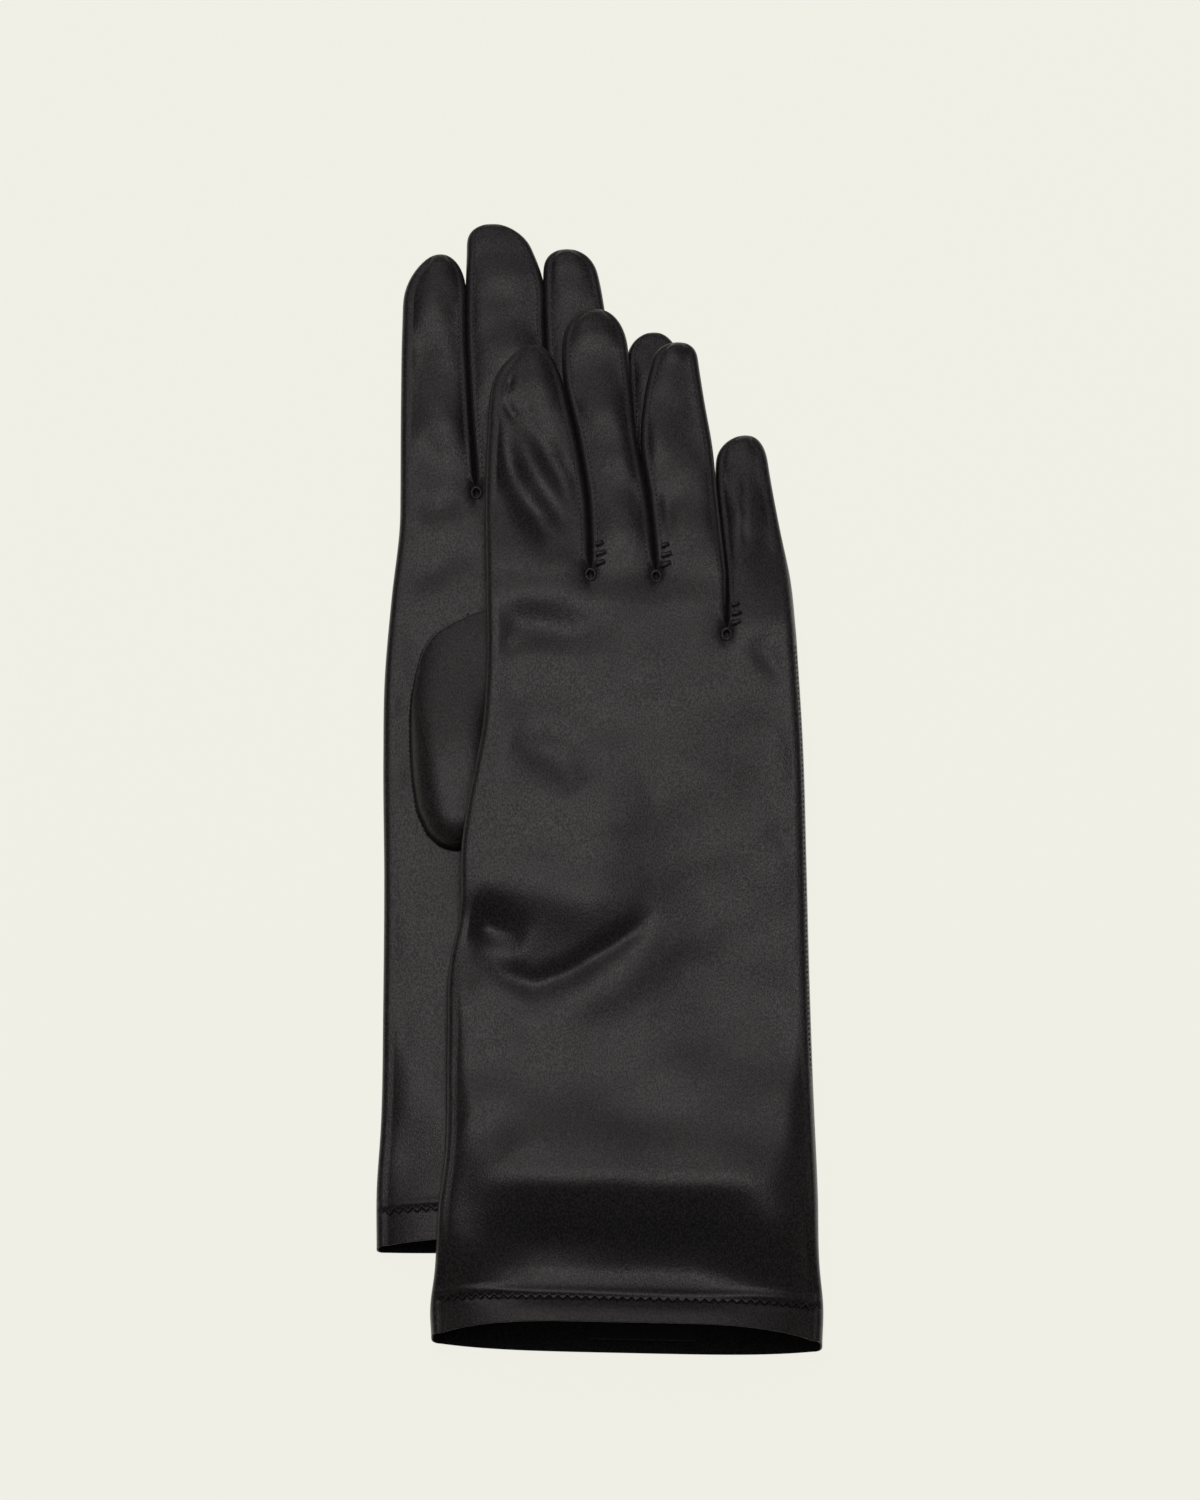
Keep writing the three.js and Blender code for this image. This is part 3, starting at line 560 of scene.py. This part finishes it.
def shell(name, patches, normals, thickness=CLOTH):
    """A piece of cloth with its thickness, closed at its edges, shaded as part of the whole glove."""
    points, quads = joined(patches)
    outward = np.array([normals[k] for k in key_of(points)])
    faces = tidy_faces(quads)
    n = len(points)
    once = {}
    for f in faces:
        for k, a in enumerate(f):
            once[(a, f[(k + 1) % len(f)])] = True
    rims = [(b, a, a + n, b + n) for a, b in once if (b, a) not in once]
    inner = [tuple(c + n for c in reversed(f)) for f in faces]
    both = np.concatenate([points, points - outward * thickness])
    obj = mesh_object(name, both, faces + inner + rims)
    facing = np.concatenate([outward, -outward])
    obj.data.normals_split_custom_set_from_vertices(facing.tolist())
    return obj


def mesh_object(name, points, faces):
    mesh = bpy.data.meshes.new(name)
    mesh.from_pydata((np.asarray(points) * MM).tolist(), [], faces)
    mesh.validate()
    mesh.shade_smooth()
    obj = bpy.data.objects.new(name, mesh)
    bpy.context.scene.collection.objects.link(obj)
    return obj


def tube(name, path, radius, sides=8, closed=False):
    """A round thread along a path of points."""
    path = np.asarray(path, float)
    ahead = np.roll(path, -1, 0) - np.roll(path, 1, 0) if closed else np.gradient(path, axis=0)
    ahead /= np.linalg.norm(ahead, axis=1, keepdims=True)
    side = np.cross(ahead, [0, 0, 1.0])
    side /= np.maximum(np.linalg.norm(side, axis=1, keepdims=True), 1e-9)
    up = np.cross(side, ahead)
    angle = np.linspace(0, 2 * math.pi, sides, endpoint=False)
    x, y = np.cos(angle)[None, :, None], np.sin(angle)[None, :, None]
    rings = path[:, None] + radius * (side[:, None] * x + up[:, None] * y)
    n = len(path)
    i = np.arange(n * sides).reshape(n, sides)
    j = np.roll(i, -1, 1)
    last = n if closed else n - 1
    faces = [(i[k, s], i[(k + 1) % n, s], j[(k + 1) % n, s], j[k, s])
             for k in range(last) for s in range(sides)]
    if not closed:
        faces += [tuple(i[0]), tuple(i[-1][::-1])]
    return mesh_object(name, rings.reshape(-1, 3), [tuple(int(c) for c in f) for f in faces])


# ------------------------------------------------------------------ materials
def principled(name, colour, roughness, sheen=0.0):
    material = bpy.data.materials.new(name)
    material.use_nodes = True
    shader = material.node_tree.nodes["Principled BSDF"]
    shader.inputs["Base Color"].default_value = (*colour, 1)
    shader.inputs["Roughness"].default_value = roughness
    shader.inputs["Sheen Weight"].default_value = sheen
    return material, material.node_tree, shader


def add(tree, kind, **values):
    node = tree.nodes.new(kind)
    for key, value in values.items():
        if key in node.inputs:
            node.inputs[key].default_value = value
        else:
            setattr(node, key, value)
    return node


def satin(name, dark, light, roughness, sheen):
    """Stretch satin: a fine bright speckle of floating threads over near black."""
    material, tree, shader = principled(name, light, roughness, sheen)
    link = tree.links.new
    where = add(tree, "ShaderNodeTexCoord")
    stretch = add(tree, "ShaderNodeMapping")
    stretch.inputs["Scale"].default_value = (1.5, 1.0, 1.0)
    link(where.outputs["Object"], stretch.inputs["Vector"])
    grain = add(tree, "ShaderNodeTexNoise", Scale=1500.0, Detail=3.0, Roughness=0.7)
    link(stretch.outputs["Vector"], grain.inputs["Vector"])
    tone = add(tree, "ShaderNodeValToRGB")
    tone.color_ramp.elements[0].position, tone.color_ramp.elements[1].position = 0.42, 0.60
    tone.color_ramp.elements[0].color, tone.color_ramp.elements[1].color = (*dark, 1), (*light, 1)
    link(grain.outputs["Fac"], tone.inputs["Fac"])
    link(tone.outputs["Color"], shader.inputs["Base Color"])
    gloss = add(tree, "ShaderNodeMapRange")
    gloss.inputs["To Min"].default_value = roughness + 0.24
    gloss.inputs["To Max"].default_value = roughness - 0.20
    link(grain.outputs["Fac"], gloss.inputs["Value"])
    link(gloss.outputs["Result"], shader.inputs["Roughness"])
    shader.inputs["Specular IOR Level"].default_value = 0.4
    weave = add(tree, "ShaderNodeBump", Strength=0.4, Distance=0.00025)
    link(grain.outputs["Fac"], weave.inputs["Height"])
    link(weave.outputs["Normal"], shader.inputs["Normal"])
    return material


def thread_material():
    material, tree, shader = principled("thread", (0.012, 0.011, 0.011), 0.38, 0.05)
    twist = add(tree, "ShaderNodeTexNoise", Scale=4000.0, Detail=1.0)
    where = add(tree, "ShaderNodeTexCoord")
    tree.links.new(where.outputs["Object"], twist.inputs["Vector"])
    bump = add(tree, "ShaderNodeBump", Strength=0.4, Distance=0.0001)
    tree.links.new(twist.outputs["Fac"], bump.inputs["Height"])
    tree.links.new(bump.outputs["Normal"], shader.inputs["Normal"])
    return material


SATIN = satin("satin", (0.001, 0.0009, 0.0009), (0.036, 0.032, 0.031), 0.33, 0.03)
# A darker copy of the satin for the fourchettes: painted shade for the narrow gaps between the fingers where
# these strips lie.
SHADED_FOURCHETTE_SATIN = satin("fourchette_satin", (0.002, 0.0018, 0.0018), (0.019, 0.017, 0.0165), 0.36, 0.03)
THREAD = thread_material()
TAPE = satin("tape", (0.006, 0.006, 0.007), (0.014, 0.014, 0.015), 0.5, 0.1)


def dress(obj, material):
    obj.data.materials.append(material)
    return obj


# ------------------------------------------------------------------ pieces
FOLD_LENGTH = 14  # along a finger from its base, to the second point that finger_line gives
BODY_OF = {
    ("left", "index"): "left_index_finger", ("right", "index"): "right_index_finger",
    ("right", "middle"): "right_middle_finger", ("right", "ring"): "right_ring_finger",
    ("right", "little"): "right_little_finger",
}


def make_glove(glove):
    patches = hand_patches(glove)
    tops = {}
    for name in ORDER:
        made = finger_patches(glove, name)
        tops[name] = made[0].points
        patches += made
    normals = whole_normals(patches)
    groups = {}
    for p in patches:
        groups.setdefault(p.group, []).append(p)
    for group, members in groups.items():
        make_piece(glove, group, members, normals)
    for name, top in tops.items():
        finger_seams(glove, name, top)
    crotch_curls(glove)
    if glove is RIGHT:
        crotch_pleats(glove, tops)


def make_piece(glove, group, members, normals):
    side = glove.side
    strip = "fourchette" in group
    node = f"{side}_trank" if group == "hand" else f"{side}_{group}"
    obj = shell(f"cloth_{node}", members, normals)
    # Fourchettes take the darker copy of the satin, painted shade for the gaps between fingers.
    dress(obj, SHADED_FOURCHETTE_SATIN if strip else SATIN)
    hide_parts(node)
    follow(obj, glove, group.split("_")[0])


def follow(obj, glove, finger):
    """Make a piece move with its glove if its finger has no fold; a piece of a finger with a fold is only
    baked in place.
    """
    body = BODY_OF.get((glove.side, finger))
    if body is None:
        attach(obj, f"{glove.side}_glove")
        return
    start, end = finger_line(glove, finger)
    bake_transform(obj)


def finger_line(glove, name):
    """Two points on a finger's middle line: at its base, and FOLD_LENGTH further towards its tip."""
    spec = glove.fingers[name]
    v0, left, right = spec["body"][0]
    tip_u, tip_v = spec["tip"]
    middle = (left + right) / 2
    ahead = np.array([tip_u - middle, tip_v - v0])
    ahead /= np.linalg.norm(ahead)
    end = np.array([middle, v0]) + FOLD_LENGTH * ahead
    return glove.point(middle, v0 + 0.3, 0), glove.point(end[0], end[1], 0)


# ------------------------------------------------------------------ thumbs
THUMB_BASE = [(-29.5, 121), (-27, 146)]  # along here a thumb's cloth goes over to the thumb's body
THUMB_CROWN = 5.9  # height of a thumb pouch over the palm it lies on
LEFT_THUMB = dict(
    left=[(115.6, -29.4), (116.6, -33.8), (120, -37.3), (127, -40.2), (136, -41.3), (146, -41.6),
          (155, -41.4), (161, -40.9), (169, -39.0), (174, -37.6), (179, -34.6),
          (182.4, -29.0), (185.6, -22.5), (187, -14)],
    right=[(115.6, -29.4), (116.6, -25.5), (120, -21.6), (127, -19.2), (136, -18.4), (146, -17.8),
           (155, -16.6), (161, -14.4), (169, -9.4), (174, -5.4), (179, -2.6), (182.4, -2.2),
           (185.6, -5), (187, -14)],
)
RIGHT_THUMB = dict(
    left=[(112, -29), (113, -33.6), (116, -37.6), (121, -39.8), (143, -39.4), (164, -36), (177, -31.4),
          (184, -28.4), (187.6, -24.6), (189, -19.4)],
    right=[(112, -29), (113, -24.4), (116, -20.2), (121, -17.9), (143, -16.8), (164, -16), (177, -13.8),
           (184, -11.6), (187.6, -14.6), (189, -19.4)],
)


def thumb_patch(glove, plan, low, up):
    """A pillow between two edges, its plump side up or down."""
    start, end = plan["left"][0][0], plan["left"][-1][0]
    rows = (start + end) / 2 - (end - start) / 2 * np.cos(np.linspace(0, math.pi, 70))
    lengths = np.interp(rows, *np.array(plan["left"]).T), np.interp(rows, *np.array(plan["right"]).T)
    left, right = (np.convolve(np.pad(e, 2, "edge"), [0.1, 0.2, 0.4, 0.2, 0.1], "valid") for e in lengths)
    ends = [0, -1]
    left[ends] = right[ends] = (left[ends] + right[ends]) / 2
    shares = 0.5 - 0.5 * np.cos(np.linspace(0, math.pi, 33))
    u = left[:, None] + (right - left)[:, None] * shares
    v = np.broadcast_to(rows[:, None], u.shape)
    x = 2 * shares - 1
    lengthwise = np.minimum(rounded(rows - start, 10), rounded(end - rows, 12))[:, None]
    crown = np.clip(1 - np.abs(x) ** 2.6, 0, 1) ** 0.5 * lengthwise
    crown = crown * (0.24 + 0.76 * smooth((end - rows - 2) / 50))[:, None]
    crown = crown * (1 + 0.03 * np.sin(v / 5.5 + 0.4) + 0.02 * np.sin(u / 2.6 + v / 9))
    puff = THUMB_CROWN * crown
    flat = 0.25 * lengthwise * (1 - x**2)
    top, bottom = (low + puff, low - flat) if up else (low + THUMB_CROWN + flat, low + THUMB_CROWN - puff)
    return [Patch(glove, "thumb", u, v, top, False), Patch(glove, "thumb", u, v, bottom, True)]


def make_thumb(glove, plan, low, up):
    patches = thumb_patch(glove, plan, low, up)
    obj = shell(f"cloth_{glove.side}_thumb", patches, whole_normals(patches))
    dress(obj, SATIN)
    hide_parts(f"{glove.side}_thumb")
    start, end = (glove.point(u, v, 0) for u, v in THUMB_BASE)
    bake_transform(obj)


# ------------------------------------------------------------------ stitching
def surface_height(glove, u, v):
    left, right = curve(glove.left, v), curve(glove.right, np.minimum(v, LITTLE_CROTCH))
    return hand_top(glove, u, v, left, right)


def stitches(name, path, pitch, length, radius):
    """Short separate stitches along a path, each a small bar with pointed ends."""
    path = np.asarray(path, float)
    steps = np.linalg.norm(np.diff(path, axis=0), axis=1)
    along = np.concatenate([[0], np.cumsum(steps)])
    starts = np.arange(0.3, along[-1] - length, pitch)
    spots = starts[:, None] + length * np.array([0, 0.25, 0.75, 1])
    centre = np.stack([np.interp(spots, along, path[:, k]) for k in range(3)], -1)
    ahead = centre[:, -1] - centre[:, 0]
    ahead /= np.linalg.norm(ahead, axis=1, keepdims=True)
    side = np.cross(ahead, [0, 0, 1.0])
    up = np.cross(side, ahead)
    girth = radius * np.array([0.25, 1, 1, 0.25])[None, :, None, None]
    ring = np.stack([side, up, -side, -up], 1)[:, None]
    points = centre[:, :, None] + girth * ring
    points[..., 2] -= 0.35 * radius
    base = np.arange(len(starts))[:, None] * 16
    sides = [(4 * k + i, 4 * k + (i + 1) % 4, 4 * k + 4 + (i + 1) % 4, 4 * k + 4 + i)
             for k in range(3) for i in range(4)]
    faces = np.concatenate([base[:, :, None] + np.array([*sides, (3, 2, 1, 0), (12, 13, 14, 15)])[None]])
    obj = mesh_object(name, points.reshape(-1, 3), [tuple(f) for f in faces.reshape(-1, 4).tolist()])
    return dress(obj, THREAD)


def finger_seams(glove, name, top):
    """Stitches along each edge of a finger's upper panel that is not the glove's outer side."""
    for side, column in (("left", 0), ("right", -1)):
        if (name, side) in (("index", "left"), ("little", "right")):
            continue
        path = top[:-3, column] + [0, 0, 0.05]
        obj = stitches(f"seam_{glove.side}_{name}_{side}", path, 1.55, 1.0, 0.17)
        follow(obj, glove, name)


CURL_RADIUS = 0.5
PLEAT_RADIUS = 0.85
PLEATS = [(2.2, 2.4), (5.0, 2.8), (7.8, 2.0)]  # how far above the crotch, and how long


def crotch_curls(glove):
    """Small rings where the fourchettes end."""
    for name, (u, v) in zip(["index", "middle", "ring"], crotches(glove)):
        angle = np.linspace(0, 2 * math.pi, 22, endpoint=False)
        ru, rv = u + 1.3 * np.cos(angle), v - 1.0 + 1.5 * np.sin(angle)
        z = surface_height(glove, ru, rv).max() + 0.05
        path = glove.world(ru, rv, z + 0.25 * np.sin(angle))
        ring = tube(f"curl_{glove.side}_{name}", path, CURL_RADIUS, closed=True)
        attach(dress(ring, SATIN), f"{glove.side}_glove")


def crotch_pleats(glove, tops):
    """Short pleats that the curled seam pulls in the finger beside it."""
    for name, (u, v) in zip(ORDER[1:], crotches(glove)):
        share = np.linspace(0, 1, 9)
        for k, (above, length) in enumerate(PLEATS):
            pu = u + 1.5 + length * share - 0.04 * above
            pv = v + above + 0.8 * share**1.5
            flat = tops[name].reshape(-1, 3)
            where = glove.world(pu, pv, 0.0)
            near = np.argmin(((flat[None, :, :2] - where[:, None, :2]) ** 2).sum(-1), 1)
            path = where + np.outer(flat[near, 2] + 0.1 - 0.5 * share**2, [0, 0, 1])
            path[:, 2] = np.convolve(np.pad(path[:, 2], 1, "edge"), [0.25, 0.5, 0.25], "valid")
            ridge = tube(f"pleat_{glove.side}_{name}_{k}", path, PLEAT_RADIUS, sides=12)
            follow(dress(ridge, SATIN), glove, name)


HEM_STITCH = 1.25  # step across the glove from one turn of the zigzag to the next
HEM_ZIGZAG = 0.85  # how far each turn lies from the line of stitching
HEM_THREAD = 0.3  # radius, and height over the cloth
THREAD_INSET = 1.2  # from the sides of the glove


def hem_thread(glove):
    """The zigzag of the hem's stitching over its upper face."""
    left, right = curve(glove.left, HEM) + THREAD_INSET, curve(glove.right, HEM) - THREAD_INSET
    count = int((right - left) / HEM_STITCH)
    u = np.linspace(left, right, count)
    v = HEM + HEM_ZIGZAG * np.where(np.arange(count) % 2, 1, -1)
    back = hem_recess(glove, u, v, left - THREAD_INSET, right + THREAD_INSET)
    z = surface_height(glove, u, v) + HEM_THREAD
    path = glove.world(u, v + back, z)
    obj = tube(f"hem_thread_{glove.side}", path, HEM_THREAD, sides=6)
    dress(obj, THREAD)
    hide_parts(f"{glove.side}_hem_stitching")
    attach(obj, f"{glove.side}_glove")


def side_thread(glove):
    """The side seam's stitches, from the hem to the little finger."""
    v = np.arange(11.5, 202, 0.8)
    edge = curve(glove.right, v)
    inwards = 5.2 * (1 - smooth((v - 10) / 70)) + 0.5
    u = edge - inwards
    z = surface_height(glove, u, v) + 0.03
    path = glove.world(u, v, z)
    obj = stitches(f"side_thread_{glove.side}", path, 1.5, 1.1, 0.16)
    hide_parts(f"{glove.side}_side_seam")
    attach(obj, f"{glove.side}_glove")


def thumb_thread(glove, plan, low):
    """The seam that joins a thumb to its palm, along the thumb's edge."""
    v = np.arange(plan["left"][1][0] + 3, plan["left"][-2][0], 0.8)
    u = np.interp(v, *np.array(plan["left"]).T)
    u = np.convolve(np.pad(u, 2, "edge"), [0.1, 0.2, 0.4, 0.2, 0.1], "valid") - 0.15
    path = glove.world(u, v, low + 0.1)
    obj = stitches(f"thumb_thread_{glove.side}", path, 1.5, 1.1, 0.22)
    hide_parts(f"{glove.side}_thumb_seam")
    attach(obj, f"{glove.side}_glove")


# ------------------------------------------------------------------ floor, light and camera
ELEVATION = math.radians(72)
LENS = 1200.0
PHOTO_WIDTH = 336.0  # what the picture's width covers at the gloves, in millimetres
AIM = Vector((0, 0.01104, 0))


def stage():
    mesh = bpy.data.meshes.new("floor")
    mesh.from_pydata([(-3, -3, 0), (3, -3, 0), (3, 3, 0), (-3, 3, 0)], [], [(0, 1, 2, 3)])
    floor = bpy.data.objects.new("floor", mesh)
    bpy.context.scene.collection.objects.link(floor)
    floor.location.z = -0.0002
    material = bpy.data.materials.new("paper")
    material.use_nodes = True
    tree = material.node_tree
    tree.nodes.clear()
    out = add(tree, "ShaderNodeOutputMaterial")
    glow = add(tree, "ShaderNodeEmission", Color=(0.887, 0.879, 0.806, 1), Strength=1.045)
    matt = add(tree, "ShaderNodeBsdfDiffuse", Color=(0.80, 0.79, 0.72, 1))
    mix = add(tree, "ShaderNodeMixShader", Fac=0.08)
    tree.links.new(glow.outputs[0], mix.inputs[1])
    tree.links.new(matt.outputs[0], mix.inputs[2])
    tree.links.new(mix.outputs[0], out.inputs["Surface"])
    mesh.materials.append(material)


def area(name, place, aim, size, power):
    light = bpy.data.lights.new(name, "AREA")
    light.color = (1.0, 0.91, 0.93)
    light.shape, light.size, light.energy = "DISK", size, power
    lamp = bpy.data.objects.new(name, light)
    bpy.context.scene.collection.objects.link(lamp)
    lamp.location = place
    lamp.rotation_mode = "QUATERNION"
    lamp.rotation_quaternion = (Vector(aim) - Vector(place)).to_track_quat("-Z", "Y")


def lights():
    area("softbox_main", (-0.03, 0.215, 0.86), (0, -0.02, 0), 0.28, 1.45)
    area("softbox_low", (-0.3, 1.4, 1.3), (0, 0, 0), 0.7, 2.4)
    world = bpy.data.worlds.new("room")
    world.use_nodes = True
    world.node_tree.nodes["Background"].inputs["Color"].default_value = (1, 1, 1, 1)
    world.node_tree.nodes["Background"].inputs["Strength"].default_value = 0.12
    bpy.context.scene.world = world


def camera():
    data = bpy.data.cameras.new("camera")
    data.lens, data.sensor_width = LENS, 36.0
    data.clip_start, data.clip_end = 0.05, 50
    eye = bpy.data.objects.new("camera", data)
    bpy.context.scene.collection.objects.link(eye)
    tall = PHOTO_WIDTH * 1.25 * MM
    distance = tall * LENS / data.sensor_width
    back = Vector((0, -math.cos(ELEVATION), math.sin(ELEVATION)))
    eye.location = AIM + back * distance
    eye.rotation_mode = "QUATERNION"
    eye.rotation_quaternion = (-back).to_track_quat("-Z", "Y")
    bpy.context.scene.camera = eye


make_glove(LEFT)
make_glove(RIGHT)
LEFT_THUMB_FLOOR = HAND_THICKNESS + 0.5
RIGHT_THUMB_FLOOR = HAND_THICKNESS + 0.6
make_thumb(LEFT, LEFT_THUMB, LEFT_THUMB_FLOOR, True)
make_thumb(RIGHT, RIGHT_THUMB, RIGHT_THUMB_FLOOR, False)
for pair_side in (LEFT, RIGHT):
    hem_thread(pair_side)
    side_thread(pair_side)
thumb_thread(LEFT, LEFT_THUMB, HAND_THICKNESS + 0.45)
thumb_thread(RIGHT, RIGHT_THUMB, OVER_THUMBS - 0.5)
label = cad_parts["right_label"]
label.data.materials.clear()
label.data.materials.append(TAPE)
stage()
lights()
camera()
bpy.context.scene.view_settings.view_transform = "Standard"
